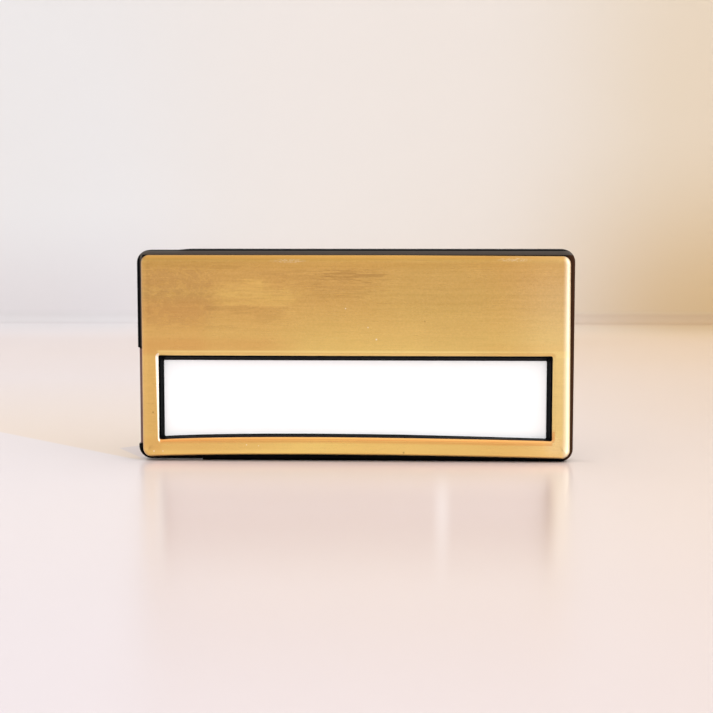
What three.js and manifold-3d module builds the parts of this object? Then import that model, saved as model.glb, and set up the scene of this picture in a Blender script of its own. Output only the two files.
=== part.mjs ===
// Name badge: a rolled gold metal cover with a card window, on a black moulded backing with a pin behind.
// Millimetres. X runs along the badge, Z is up and the front faces -Y. The badge stands on its lower long
// edge, with its origin on that edge, in the middle of its length and of its whole depth.

import * as THREE from "three";
import { mergeVertices } from "three/addons/utils/BufferGeometryUtils.js";
import Module from "manifold-3d";

const wasm = await Module();
wasm.setup();

// Backing
const LENGTH = 76;
const HEIGHT = 37;
const BACKING_DEPTH = 3.9;
const CORNER_RADIUS = 2.2;
const FRONT_ROUND = 0.55;
const BACK_ROUND = 0.4;
const RIM_WIDTH = 0.85;

// The left end of the backing's outline stands a little inside the rest, at the top and at the bottom.
const TOP_STEP = 0.18;
const TOP_STEP_LENGTH = 7;
const TOP_STEP_SLOPE = 2;
const BOTTOM_STEP = 0.26;
const BOTTOM_STEP_LENGTH = 11.2;

// Cover
const SHEET = 0.45;
const COVER_CORNER_RADIUS = 1.4;
const COVER_ROLL = 1.25;
const SIDE_BAR = 2.95;
const BOTTOM_BAR = 2.95;
const COVER_ARCH = 0.4;

// Window, with a lower edge that arches up like the cover's
const WINDOW_HEIGHT = 14.75;
const WINDOW_CORNER_RADIUS = 0.25;
const WINDOW_ROLL = 0.6;
const WINDOW_ARCH = 0.5;
const ARCH_PEAK_X = -8;

// Lip of the backing inside the window: a flat step next to the cover, then a chamfer down to the card
const LIP_STEP = 0.3;
const LIP_SIDE = 0.9;
const LIP_EDGE = 0.67;
const LIP_THICKNESS = 0.2;
const LIP_CORNER_RADIUS = 0.2;

// Card and its slot, which is open at the left end of the backing
const CARD_THICKNESS = 0.3;
const CARD_TUCK = 1.2;
const CARD_CLEARANCE = 0.1;
const CARD_END_GAP = 0.2;
const SLOT_WALL = 0.4;
const SLOT_BELOW_WINDOW = 0.9;
const SLOT_ABOVE_WINDOW = 1.25;
const NOTCH_DEPTH = 0.36;

// Pin bar, whose strip lies in a shallow recess in the back
const STRIP_LENGTH = 32;
const STRIP_HEIGHT = 5;
const STRIP_THICKNESS = 0.6;
const STRIP_BELOW_TOP = 12;
const STRIP_RECESS = 0.4;
const EAR_WIDTH = 3;
const EAR_TOP_WALL = 0.4;
const EAR_THICKNESS = 0.8;
const EAR_INSET = 2.2;
const PIN_DIAMETER = 0.9;
const PIN_GAP = 1.7;
const PIN_TIP_LENGTH = 1.6;
const PIN_TIP_DIAMETER = 0.2;

// Gaps between pieces
const FIT_GAP = 0.1;
const SEAT_GAP = 0.05;

// Fineness of curves
const CURVE_STEPS = 4;
const ROLL_STEPS = 5;
const PIN_SIDES = 16;
const SMALLEST_RADIUS = 0.05;
const SAME_POINT = 1e-6;
const OVERRUN = 1;

// Places that follow from the sizes. Depth grows towards the back: the rim's front face is at y = 0.
const windowEdgeDepth = Math.max(WINDOW_ROLL, SHEET);
const coverFrontY = -(COVER_ROLL + SEAT_GAP);
const coreFrontY = coverFrontY + windowEdgeDepth + SEAT_GAP;
const slotFrontY = SLOT_WALL;
const slotBackY = slotFrontY + CARD_THICKNESS + 2 * CARD_CLEARANCE;
const coverInnerRoll = Math.max(COVER_ROLL - SHEET, SMALLEST_RADIUS);
const earHeight = PIN_GAP + PIN_DIAMETER + EAR_TOP_WALL;
const recessY = BACKING_DEPTH - STRIP_RECESS;
const stripY = recessY + SEAT_GAP;
const stripZ = HEIGHT - STRIP_BELOW_TOP;
const earTopY = stripY + STRIP_THICKNESS + earHeight;
const middleY = (coverFrontY + earTopY) / 2;

// Upright boxes seen from the front: left, right, bottom and top, some with a corner radius and an arched
// lower edge.
const backingBox = { left: -LENGTH / 2, right: LENGTH / 2, bottom: 0, top: HEIGHT, radius: CORNER_RADIUS };
const coverBox = { ...grow(backingBox, -RIM_WIDTH), radius: COVER_CORNER_RADIUS, arch: COVER_ARCH };
const coverInside = grow(coverBox, -SHEET);
const coreBox = grow(coverInside, -FIT_GAP);
const windowBox = {
  left: coverBox.left + SIDE_BAR,
  right: coverBox.right - SIDE_BAR,
  bottom: coverBox.bottom + BOTTOM_BAR,
  top: coverBox.bottom + BOTTOM_BAR + WINDOW_HEIGHT,
  radius: WINDOW_CORNER_RADIUS,
  arch: WINDOW_ARCH,
};
const lipBox = {
  left: windowBox.left + LIP_SIDE,
  right: windowBox.right - LIP_SIDE,
  bottom: windowBox.bottom + LIP_EDGE,
  top: windowBox.top - LIP_EDGE,
  radius: LIP_CORNER_RADIUS,
  arch: WINDOW_ARCH,
};
const slotBox = {
  left: backingBox.left + NOTCH_DEPTH,
  right: lipBox.right + CARD_TUCK + CARD_CLEARANCE,
  bottom: windowBox.bottom - SLOT_BELOW_WINDOW,
  top: windowBox.top + SLOT_ABOVE_WINDOW,
};
const stripBox = {
  left: -STRIP_LENGTH / 2,
  right: STRIP_LENGTH / 2,
  bottom: -STRIP_HEIGHT / 2,
  top: STRIP_HEIGHT / 2,
  radius: STRIP_HEIGHT / 2 - SMALLEST_RADIUS,
};

// The same box with every side moved outwards, or inwards for a negative distance.
function grow(box, distance) {
  return {
    ...box,
    left: box.left - distance,
    right: box.right + distance,
    bottom: box.bottom - distance,
    top: box.top + distance,
    radius: Math.max(box.radius + distance, SMALLEST_RADIUS),
  };
}

// Points of a shape's outline, anticlockwise from the front, with none repeated.
function pointsOf(shape) {
  const points = shape.getPoints(CURVE_STEPS);
  return points.filter((point, i) => point.distanceTo(points.at(i - 1)) > SAME_POINT);
}

// The right end of a box, from its lower to its upper corner, and the left end, from upper to lower.
function rightEnd(shape, { right, bottom, top, radius }) {
  shape.absarc(right - radius, bottom + radius, radius, -Math.PI / 2, 0);
  shape.absarc(right - radius, top - radius, radius, 0, Math.PI / 2);
}

function leftEnd(shape, { left, bottom, top, radius }) {
  shape.absarc(left + radius, top - radius, radius, Math.PI / 2, Math.PI);
  shape.absarc(left + radius, bottom + radius, radius, Math.PI, 1.5 * Math.PI);
}

// Outline of a box with straight edges.
function plainOutline(box) {
  const shape = new THREE.Shape();
  rightEnd(shape, box);
  leftEnd(shape, box);
  return pointsOf(shape);
}

// Outline of a box whose lower edge is one arch, highest at ARCH_PEAK_X.
function archedOutline(box) {
  const start = box.left + box.radius;
  const end = box.right - box.radius;
  const shape = new THREE.Shape();
  shape.moveTo(start, box.bottom);
  shape.quadraticCurveTo(2 * ARCH_PEAK_X - (start + end) / 2, box.bottom + 2 * box.arch, end, box.bottom);
  rightEnd(shape, box);
  leftEnd(shape, box);
  return pointsOf(shape);
}

// Outline of the backing, whose left end is lower at the top and higher at the bottom than the rest.
function backingOutline(box) {
  const leftPart = { ...box, bottom: box.bottom + BOTTOM_STEP, top: box.top - TOP_STEP };
  const shape = new THREE.Shape();
  shape.moveTo(leftPart.left + leftPart.radius, leftPart.bottom);
  shape.lineTo(leftPart.left + BOTTOM_STEP_LENGTH, leftPart.bottom);
  shape.lineTo(box.left + BOTTOM_STEP_LENGTH, box.bottom);
  rightEnd(shape, box);
  shape.lineTo(box.left + TOP_STEP_LENGTH + TOP_STEP_SLOPE, box.top);
  shape.lineTo(box.left + TOP_STEP_LENGTH, leftPart.top);
  leftEnd(shape, leftPart);
  return pointsOf(shape);
}

// A solid lofted from front to back through outlines with the same number of points, each at its own depth.
function loft(layers) {
  const count = layers[0].points.length;
  const positions = layers.flatMap(({ points, y }) => points.flatMap((point) => [point.x, y, point.y]));
  const index = [];
  for (let layer = 0; layer < layers.length - 1; layer++) {
    for (let i = 0; i < count; i++) {
      const next = (i + 1) % count;
      const front = layer * count;
      const back = front + count;
      index.push(front + i, back + i, back + next, front + i, back + next, front + next);
    }
  }
  const lastLayer = (layers.length - 1) * count;
  for (const [a, b, c] of THREE.ShapeUtils.triangulateShape(layers[0].points, [])) index.push(a, b, c);
  for (const [a, b, c] of THREE.ShapeUtils.triangulateShape(layers.at(-1).points, []))
    index.push(lastLayer + a, lastLayer + c, lastLayer + b);
  const geometry = new THREE.BufferGeometry();
  geometry.setAttribute("position", new THREE.Float32BufferAttribute(positions, 3));
  geometry.setIndex(index);
  return geometry;
}

// Layers of a rolled front edge: towards frontY the outline shrinks by `width`, or grows for a negative one,
// while the depth falls by `height`.
function rolledLayers(outlineOf, box, frontY, width, height) {
  const layers = [];
  for (let step = 0; step <= ROLL_STEPS; step++) {
    const angle = (step / ROLL_STEPS) * (Math.PI / 2);
    const inset = width * (1 - Math.sin(angle));
    layers.push({ points: outlineOf(grow(box, -inset)), y: frontY + height * (1 - Math.cos(angle)) });
  }
  return layers;
}

// A plate with a rolled front edge and a square back edge at backY.
function rolledPlate(outlineOf, box, frontY, backY, width, height) {
  const layers = rolledLayers(outlineOf, box, frontY, width, height);
  return loft([...layers, { points: outlineOf(box), y: backY }]);
}

// A solid with one outline between two depths.
function prism(points, frontY, backY) {
  return loft([
    { points, y: frontY },
    { points, y: backY },
  ]);
}

// A straight-sided block between two depths.
function block(left, right, frontY, backY, bottom, top) {
  const geometry = new THREE.BoxGeometry(right - left, backY - frontY, top - bottom);
  return geometry.translate((left + right) / 2, (frontY + backY) / 2, (bottom + top) / 2);
}

// Closed geometry as a solid that can be joined and cut, and back again.
function solid(geometry) {
  const bare = geometry.clone();
  bare.deleteAttribute("normal");
  bare.deleteAttribute("uv");
  const merged = mergeVertices(bare);
  return new wasm.Manifold(
    new wasm.Mesh({
      numProp: 3,
      vertProperties: merged.attributes.position.array,
      triVerts: new Uint32Array(merged.index.array),
    }),
  );
}

function geometryOf(body) {
  const { vertProperties, triVerts } = body.getMesh();
  const geometry = new THREE.BufferGeometry();
  geometry.setAttribute("position", new THREE.BufferAttribute(new Float32Array(vertProperties), 3));
  geometry.setIndex(new THREE.BufferAttribute(new Uint32Array(triVerts), 1));
  geometry.computeVertexNormals();
  return geometry;
}

function pieceMesh(name, geometry, material) {
  const mesh = new THREE.Mesh(geometry, new THREE.MeshStandardMaterial(material));
  mesh.name = name;
  return mesh;
}

// The backing: a body with a rounded rim, a core that fills the cover, the lip around the card, the card's
// slot, the slot's notch in the left rim and the recess for the pin bar's strip.
function backing() {
  const front = rolledLayers(backingOutline, backingBox, 0, FRONT_ROUND, FRONT_ROUND);
  const back = rolledLayers(backingOutline, backingBox, 0, BACK_ROUND, BACK_ROUND)
    .reverse()
    .map(({ points, y }) => ({ points, y: BACKING_DEPTH - y }));
  const body = solid(loft([...front, ...back]));

  const coreBackY = BACKING_DEPTH - BACK_ROUND;
  const coreRise = -SEAT_GAP - coreFrontY;
  const core = solid(rolledPlate(archedOutline, coreBox, coreFrontY, coreBackY, coverInnerRoll, coreRise));

  const stepBox = grow(windowBox, -LIP_STEP);
  const lipOpening = solid(
    loft([
      { points: archedOutline(stepBox), y: coreFrontY - OVERRUN },
      { points: archedOutline(stepBox), y: coreFrontY },
      { points: archedOutline(lipBox), y: slotFrontY - LIP_THICKNESS },
      { points: archedOutline(lipBox), y: slotBackY },
    ]),
  );
  const slot = solid(
    block(slotBox.left - OVERRUN, slotBox.right, slotFrontY, slotBackY, slotBox.bottom, slotBox.top),
  );
  const throughY = BACKING_DEPTH + OVERRUN;
  const notch = solid(
    block(slotBox.left - OVERRUN, slotBox.left, -OVERRUN, throughY, slotBox.bottom, slotBox.top),
  );
  const recessOutline = plainOutline(grow(stripBox, FIT_GAP));
  const recess = solid(prism(recessOutline, recessY, throughY).translate(0, 0, stripZ));
  const made = [lipOpening, slot, notch, recess].reduce((left, cut) => left.subtract(cut), body.add(core));
  return pieceMesh("backing", geometryOf(made), { color: 0x141315, roughness: 0.28, metalness: 0 });
}

// The cover: a sheet pressed to a tray with rolled edges, cut through by the window with a rolled edge too.
function cover() {
  const outside = solid(rolledPlate(archedOutline, coverBox, coverFrontY, -SEAT_GAP, COVER_ROLL, COVER_ROLL));
  const insideFrontY = coverFrontY + SHEET;
  const inside = solid(
    rolledPlate(archedOutline, coverInside, insideFrontY, OVERRUN, coverInnerRoll, coverInnerRoll),
  );
  const turnedOutline = archedOutline(grow(windowBox, SHEET));
  const turnedEdge = solid(prism(turnedOutline, coverFrontY + SHEET / 2, coverFrontY + windowEdgeDepth));
  const flare = rolledLayers(archedOutline, windowBox, coverFrontY, -WINDOW_ROLL, WINDOW_ROLL);
  const opening = solid(
    loft([
      { points: flare[0].points, y: coverFrontY - OVERRUN },
      ...flare,
      { points: archedOutline(windowBox), y: OVERRUN },
    ]),
  );
  const made = outside.subtract(inside).add(turnedEdge).subtract(opening);
  return pieceMesh("cover", geometryOf(made), { color: 0xdcb272, roughness: 0.32, metalness: 1 });
}

// The card lies in the slot, with its edges tucked behind the lip and its left end just inside the notch.
function nameCard() {
  const left = slotBox.left + CARD_END_GAP;
  const right = slotBox.right - CARD_CLEARANCE;
  const height = slotBox.top - slotBox.bottom - 2 * CARD_CLEARANCE;
  const mesh = pieceMesh("name_card", new THREE.BoxGeometry(right - left, CARD_THICKNESS, height), {
    color: 0xfcfcfc,
    roughness: 0.85,
    metalness: 0,
  });
  mesh.position.set(
    (left + right) / 2,
    slotFrontY + CARD_CLEARANCE + CARD_THICKNESS / 2,
    (slotBox.bottom + slotBox.top) / 2,
  );
  return mesh;
}

// One ear of the pin bar, standing on the strip at a place along it, with a round top.
function ear(x) {
  const radius = EAR_WIDTH / 2;
  const shape = new THREE.Shape();
  shape.moveTo(-radius, STRIP_THICKNESS / 2);
  shape.lineTo(radius, STRIP_THICKNESS / 2);
  shape.absarc(0, STRIP_THICKNESS + earHeight - radius, radius, 0, Math.PI);
  const plate = new THREE.ExtrudeGeometry(shape, {
    depth: EAR_THICKNESS,
    bevelEnabled: false,
    curveSegments: 2 * CURVE_STEPS,
  });
  // The shape's X becomes -Z and its Y becomes the badge's depth, so the plate is thin along the badge.
  const turn = new THREE.Matrix4().makeBasis(
    new THREE.Vector3(0, 0, -1),
    new THREE.Vector3(0, 1, 0),
    new THREE.Vector3(1, 0, 0),
  );
  return plate.applyMatrix4(turn).translate(x - EAR_THICKNESS / 2, 0, 0);
}

// The pin bar: a strip with round ends, two ears and the pin wire, whose tip stands past the right ear.
function pinBar() {
  const earX = STRIP_LENGTH / 2 - EAR_INSET;
  const pinY = STRIP_THICKNESS + PIN_GAP + PIN_DIAMETER / 2;
  const wire = new THREE.CylinderGeometry(PIN_DIAMETER / 2, PIN_DIAMETER / 2, 2 * earX, PIN_SIDES);
  const tip = new THREE.CylinderGeometry(PIN_TIP_DIAMETER / 2, PIN_DIAMETER / 2, PIN_TIP_LENGTH, PIN_SIDES);
  wire.rotateZ(-Math.PI / 2).translate(0, pinY, 0);
  tip.rotateZ(-Math.PI / 2).translate(earX + PIN_TIP_LENGTH / 2, pinY, 0);
  const made = solid(prism(plainOutline(stripBox), 0, STRIP_THICKNESS))
    .add(solid(ear(-earX)))
    .add(solid(ear(earX)))
    .add(solid(wire))
    .add(solid(tip));
  const mesh = pieceMesh("pin_bar", geometryOf(made), { color: 0xc4c6c8, roughness: 0.25, metalness: 1 });
  mesh.position.set(0, stripY, stripZ);
  return mesh;
}

const badge = new THREE.Group();
badge.add(backing(), cover(), nameCard(), pinBar());
badge.position.y = -middleY;

const part = new THREE.Group();
part.add(badge);

export default part;
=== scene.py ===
import math

import bmesh
import bpy
import numpy as np
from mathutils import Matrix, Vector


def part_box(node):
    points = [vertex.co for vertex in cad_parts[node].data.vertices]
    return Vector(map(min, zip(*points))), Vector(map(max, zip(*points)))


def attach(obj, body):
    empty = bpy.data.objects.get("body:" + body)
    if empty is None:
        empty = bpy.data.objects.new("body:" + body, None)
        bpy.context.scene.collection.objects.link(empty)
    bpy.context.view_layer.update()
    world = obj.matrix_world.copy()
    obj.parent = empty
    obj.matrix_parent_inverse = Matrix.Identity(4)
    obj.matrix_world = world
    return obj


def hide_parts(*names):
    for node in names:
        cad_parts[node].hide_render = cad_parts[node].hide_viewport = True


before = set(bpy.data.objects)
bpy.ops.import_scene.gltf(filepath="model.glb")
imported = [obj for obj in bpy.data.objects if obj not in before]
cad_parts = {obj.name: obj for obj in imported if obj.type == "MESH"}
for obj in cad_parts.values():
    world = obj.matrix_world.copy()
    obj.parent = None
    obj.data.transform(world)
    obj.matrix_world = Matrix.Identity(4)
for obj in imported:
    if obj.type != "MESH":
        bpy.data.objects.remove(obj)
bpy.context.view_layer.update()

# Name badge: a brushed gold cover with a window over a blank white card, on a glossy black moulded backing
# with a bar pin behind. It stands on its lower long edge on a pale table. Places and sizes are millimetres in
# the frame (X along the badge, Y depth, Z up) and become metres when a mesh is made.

MM = 0.001

# Backing
CORNER_RADIUS = 2.2
FRONT_ROUND = 0.55
BACK_ROUND = 0.4
TOP_STEP = 0.18
TOP_STEP_LENGTH = 7.0
TOP_STEP_SLOPE = 2.0
BOTTOM_STEP = 0.26
BOTTOM_STEP_LENGTH = 11.2

# Cover and its window
SHEET = 0.45
COVER_CORNER_RADIUS = 1.4
COVER_ARCH = 0.4
SIDE_BAR = 2.95
BOTTOM_BAR = 2.95
WINDOW_HEIGHT = 14.75
WINDOW_CORNER_RADIUS = 0.25
WINDOW_ROLL = 0.6
WINDOW_ARCH = 0.5
ARCH_PEAK_X = -8.0

# The pressed sheet isn't quite true. The window's bevel narrows down its left side, and the outer roll is
# tighter along the bottom. The upper edge lies low and falls to the right, the right edge flares out to the
# bottom, and the lower edge sags.
BEVEL_TAPER = 0.5
ROLL_TAPER = 0.65
COVER_DROP = 0.17
COVER_TILT = 0.16
COVER_FLARE = 0.22
FLARE_POWER = 8
COVER_SAG = 0.11
COVER_SAG_RIGHT = 0.09
TILT_START = 8.0

# Lip of the backing inside the window, and the slot behind it
LIP_STEP = 0.3
LIP_STEP_BOTTOM = 0.12
LIP_LEFT = 0.76
LIP_RIGHT = 0.9
LIP_BOTTOM = 0.43
LIP_TOP = 0.91
LIP_SAG = 0.2
LIP_THICKNESS = 0.2
LIP_CORNER_RADIUS = 0.2
CARD_CLEARANCE = 0.1
CARD_END_GAP = 0.2
CARD_CORNER = 0.3

# Pin bar. Each ring of the tip has its distance from the tip's end and its radius, both in tip radii.
STRIP_THICKNESS = 0.6
STRIP_RECESS = 0.4
STRIP_HALF = 2.5
EAR_WIDTH = 3.0
EAR_THICKNESS = 0.8
EAR_INSET = 2.2
EAR_TOP_WALL = 0.4
PIN_DIAMETER = 0.9
PIN_NECK = 0.8
PIN_TIP_LENGTH = 1.6
PIN_TIP_DIAMETER = 0.2
PIN_TIP_RINGS = ((1.0, 1.1), (1 / 3, 0.8), (0.0, 0.3))
PIN_EDGE = 0.1

# Gaps and small roundings
FIT_GAP = 0.1
SEAT_GAP = 0.05
SOFT_EDGE = 0.06
OVERRUN = 1.0

# Fineness of curves. Each arc of a bend has its first and last angle, its share of the width and its steps.
CORNER_STEPS = 14
LONG_STEPS = 60
SIDE_STEPS = 26
SOFT_STEPS = 4
INNER_STEPS = 6
FRONT_STEPS = 12
BACK_STEPS = 10
OUTER_ARCS = ((0, 62, 0.985, 18), (62, 90, 0.015, 4))
WINDOW_ARCS = ((0, 20, 0.10, 4), (20, 36, 0.75, 8), (36, 90, 0.15, 5))
FACE_SHARES = (0.02, 0.06, 0.2, 0.4, 0.6, 0.8, 0.94, 0.98)
SHARP_ANGLE = math.radians(35)


def box_mm(node):
    """A CAD node's extent in millimetres: left, right, front, back, bottom and top."""
    low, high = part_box(node)
    sides = {"left": low.x, "right": high.x, "front": low.y, "back": high.y, "bottom": low.z, "top": high.z}
    return {side: value / MM for side, value in sides.items()}


backing_box = {**box_mm("backing"), "radius": CORNER_RADIUS, "lift": BOTTOM_STEP, "drop": TOP_STEP}
cover_box = {**box_mm("cover"), "radius": COVER_CORNER_RADIUS, "arch": COVER_ARCH}
card_box = box_mm("name_card")
pin_box = box_mm("pin_bar")
pin_z = (pin_box["bottom"] + pin_box["top"]) / 2
rim_y = cover_box["back"] + SEAT_GAP
cover_roll = cover_box["back"] - cover_box["front"]
slot_front = card_box["front"] - CARD_CLEARANCE
slot_back = card_box["back"] + CARD_CLEARANCE
slot_low = card_box["bottom"] - CARD_CLEARANCE
slot_high = card_box["top"] + CARD_CLEARANCE
notch_x = card_box["left"] - CARD_END_GAP
window_box = {
    "left": cover_box["left"] + SIDE_BAR,
    "right": cover_box["right"] - SIDE_BAR,
    "bottom": cover_box["bottom"] + BOTTOM_BAR,
    "top": cover_box["bottom"] + BOTTOM_BAR + WINDOW_HEIGHT,
    "radius": WINDOW_CORNER_RADIUS,
    "arch": WINDOW_ARCH,
}
lip_box = {
    "left": window_box["left"] + LIP_LEFT,
    "right": window_box["right"] - LIP_RIGHT,
    "bottom": window_box["bottom"] + LIP_BOTTOM,
    "top": window_box["top"] - LIP_TOP,
    "radius": LIP_CORNER_RADIUS,
    "arch": WINDOW_ARCH,
}


def grow(box, distance):
    """The same box with every side moved outwards, or inwards for a negative distance."""
    return {
        **box,
        "left": box["left"] - distance,
        "right": box["right"] + distance,
        "bottom": box["bottom"] - distance,
        "top": box["top"] + distance,
        "radius": max(box["radius"] + distance, SOFT_EDGE),
    }


def shares(count, start, end, *places):
    """Even shares of the way from start to end, without the end, and the shares of some places between."""
    extra = [(place - start) / (end - start) for place in places]
    return np.unique(np.concatenate([np.linspace(0, 1, count, endpoint=False), extra]))


# Shares along each edge of an outline, with points at the steps and the notch of the backing's left end.
straight_left = backing_box["left"] + CORNER_RADIUS
straight_right = backing_box["right"] - CORNER_RADIUS
step_x = backing_box["left"] + BOTTOM_STEP_LENGTH
slope_x = backing_box["left"] + TOP_STEP_LENGTH
bottom_shares = shares(LONG_STEPS, straight_left, straight_right, step_x - SOFT_EDGE, step_x + SOFT_EDGE)
top_shares = shares(LONG_STEPS, straight_right, straight_left, slope_x + TOP_STEP_SLOPE, slope_x)
left_shares = shares(
    SIDE_STEPS,
    backing_box["top"] - CORNER_RADIUS - TOP_STEP,
    backing_box["bottom"] + CORNER_RADIUS + BOTTOM_STEP,
    *(slot_high + SOFT_EDGE, slot_high, slot_low, slot_low - SOFT_EDGE),
)
right_shares = np.linspace(0, 1, len(left_shares), endpoint=False)


def outline(box):
    """A rounded box's outline seen from the front, anticlockwise from its lower left: rows of x and z, and of
    the outward direction there. "arch" lifts the lower edge in one curve, and "lift" and "drop" take the left
    end in at the bottom and top."""
    radius, arch, lift, drop = box["radius"], box.get("arch", 0), box.get("lift", 0), box.get("drop", 0)
    inner_left, inner_right = box["left"] + radius, box["right"] - radius
    z_low, z_high = box["bottom"] + radius, box["top"] - radius
    points, normals = [], []

    def edge(x, z, normal):
        points.append(np.column_stack(np.broadcast_arrays(x, z)))
        normals.append(np.tile(normal, (len(points[-1]), 1)))

    def corner(x, z, start):
        angles = start + np.linspace(0, math.pi / 2, CORNER_STEPS, endpoint=False)
        turned = np.column_stack([np.cos(angles), np.sin(angles)])
        points.append(np.array([x, z]) + radius * turned)
        normals.append(turned)

    t = bottom_shares
    middle = (inner_left + inner_right) / 2
    peak = 2 * ARCH_PEAK_X - middle if arch else middle
    x = (1 - t) ** 2 * inner_left + 2 * t * (1 - t) * peak + t**2 * inner_right
    edge(x, box["bottom"] + 4 * arch * t * (1 - t) + lift * (x < step_x), (0, -1))
    corner(inner_right, z_low, -math.pi / 2)
    edge(box["right"], z_low + right_shares * (z_high - z_low), (1, 0))
    corner(inner_right, z_high, 0)
    x = inner_right + top_shares * (inner_left - inner_right)
    edge(x, box["top"] - drop * np.clip((slope_x + TOP_STEP_SLOPE - x) / TOP_STEP_SLOPE, 0, 1), (0, 1))
    corner(inner_left, z_high - drop, math.pi / 2)
    edge(box["left"], z_high - drop + left_shares * (z_low + lift - z_high + drop), (-1, 0))
    corner(inner_left, z_low + lift, math.pi)
    return np.vstack(points), np.vstack(normals)


def notched(points):
    """The backing's outline with the notch of the card slot cut into its left side."""
    in_notch = (points[:, 1] > slot_low - SOFT_EDGE / 2) & (points[:, 1] < slot_high + SOFT_EDGE / 2)
    clipped = points.copy()
    clipped[in_notch, 0] = np.maximum(clipped[in_notch, 0], notch_x)
    return clipped


def at_depth(points, y):
    """An outline's points as rows of x, y and z."""
    return np.column_stack([points[:, 0], np.full(len(points), y), points[:, 1]])


def rounding(steps):
    """A quarter round from its side to its front: shares of the width gone in and of the height to go."""
    angles = np.linspace(math.pi / 2, 0, steps + 1)
    return [(1 - math.sin(angle), 1 - math.cos(angle)) for angle in angles]


def bend(width, arcs):
    """A bent edge's profile from its side to its front, as how far in and how far back each point lies. Each
    arc runs from one angle to the next, counted from the front face, and spans its share of the width."""
    points = [(width, 0.0)]
    for start, end, part, steps in arcs:
        start, end = math.radians(start), math.radians(end)
        radius = part * width / (math.sin(end) - math.sin(start))
        inset, fall = points[-1]
        for angle in np.linspace(start, end, steps + 1)[1:]:
            points.append((inset - radius * (math.sin(angle) - math.sin(start)),
                           fall + radius * (math.cos(start) - math.cos(angle))))
    return points[::-1]


def finish_mesh(made):
    """Faces point outwards and are smooth, and edges sharper than SHARP_ANGLE stay sharp."""
    mesh = made.data
    work = bmesh.new()
    work.from_mesh(mesh)
    bmesh.ops.recalc_face_normals(work, faces=work.faces)
    work.to_mesh(mesh)
    work.free()
    mesh.polygons.foreach_set("use_smooth", [True] * len(mesh.polygons))
    mesh.set_sharp_from_angle(angle=SHARP_ANGLE)
    mesh.update()


def mesh_object(name, points, faces, maps=None):
    """An object with a mesh of millimetre points. maps has each point's coordinates in the metal's grain."""
    mesh = bpy.data.meshes.new(name)
    mesh.from_pydata((np.asarray(points) * MM).tolist(), [], [list(face) for face in faces])
    if maps is not None:
        layer = mesh.uv_layers.new(name="grain")
        corners = np.empty(len(mesh.loops), np.int32)
        mesh.loops.foreach_get("vertex_index", corners)
        layer.uv.foreach_set("vector", np.asarray(maps, np.float32)[corners].ravel())
    made = bpy.data.objects.new(name, mesh)
    bpy.context.scene.collection.objects.link(made)
    finish_mesh(made)
    return made


def bridged(loops, closed=False):
    """Faces between loops of equal length, and back from the last to the first where closed."""
    count = len(loops[0])
    faces = []
    for i in range(len(loops) if closed else len(loops) - 1):
        here, there = i * count, (i + 1) % len(loops) * count
        for j in range(count):
            k = (j + 1) % count
            faces.append((here + j, here + k, there + k, there + j))
    return faces


def capped(name, loops):
    """A closed body: loops bridged, with one face over each end."""
    count = len(loops[0])
    last = (len(loops) - 1) * count
    faces = [*bridged(loops), tuple(range(count)), tuple(range(last, last + count))]
    return mesh_object(name, np.vstack(loops), faces)


def block(name, left, right, front, back, bottom, top):
    corners = np.array([(left, bottom), (right, bottom), (right, top), (left, top)])
    return capped(name, [at_depth(corners, front), at_depth(corners, back)])


def join(body, tool, operation="UNION"):
    """Joins the tool's solid to the body, or takes it out, and deletes the tool."""
    modifier = body.modifiers.new("join", "BOOLEAN")
    modifier.operation = operation
    modifier.solver = "EXACT"
    modifier.object = tool
    depsgraph = bpy.context.evaluated_depsgraph_get()
    made = bpy.data.meshes.new_from_object(body.evaluated_get(depsgraph))
    body.modifiers.clear()
    body.data = made
    bpy.data.objects.remove(tool)
    finish_mesh(body)


def steady_normals(piece):
    """Large flat faces keep flat shading up to their rounded edges."""
    modifier = piece.modifiers.new("normals", "WEIGHTED_NORMAL")
    modifier.keep_sharp = True


def stadium(left, right, bottom, top, radius):
    """A rounded box's outline with straight sides, anticlockwise from its lower right."""
    points = []
    for x, z, start in (
        (right - radius, bottom + radius, -90),
        (right - radius, top - radius, 0),
        (left + radius, top - radius, 90),
        (left + radius, bottom + radius, 180),
    ):
        angles = np.radians(np.linspace(start, start + 90, CORNER_STEPS + 1))
        points.append(np.column_stack([x + radius * np.cos(angles), z + radius * np.sin(angles)]))
    return np.vstack(points)


def soft_sides(low, high, edge):
    """The way through a plate with softened edges: how far in each outline is, and where it lies."""
    front = [(edge * inset, low + edge * fall) for inset, fall in reversed(rounding(SOFT_STEPS))]
    back = [(edge * inset, high - edge * fall) for inset, fall in rounding(SOFT_STEPS)]
    return front + back


def soft_plate(name, left, right, bottom, top, radius, front, back, edge):
    """A plate with rounded corners and softened front and back edges."""
    loops = []
    for d, y in soft_sides(front, back, edge):
        points = stadium(left + d, right - d, bottom + d, top - d, max(radius - d, edge / 2))
        loops.append(at_depth(points, y))
    return capped(name, loops)


def bevel_ring(inset):
    """One outline of the window's bevel, which narrows down its left side, and how much of it is left."""
    points, normals = outline(grow(window_box, inset))
    down = np.clip((window_box["top"] - points[:, 1]) / (window_box["top"] - window_box["bottom"]), 0, 1)
    taper = 1 - BEVEL_TAPER * down * np.clip(-normals[:, 0], 0, 1)
    return points - normals * (inset * (1 - taper))[:, None], taper


def right_share(points):
    """How far each point lies on the way from TILT_START to the cover's right end."""
    return np.clip((points[:, 0] - TILT_START) / (cover_box["right"] - TILT_START), 0, 1)


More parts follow.
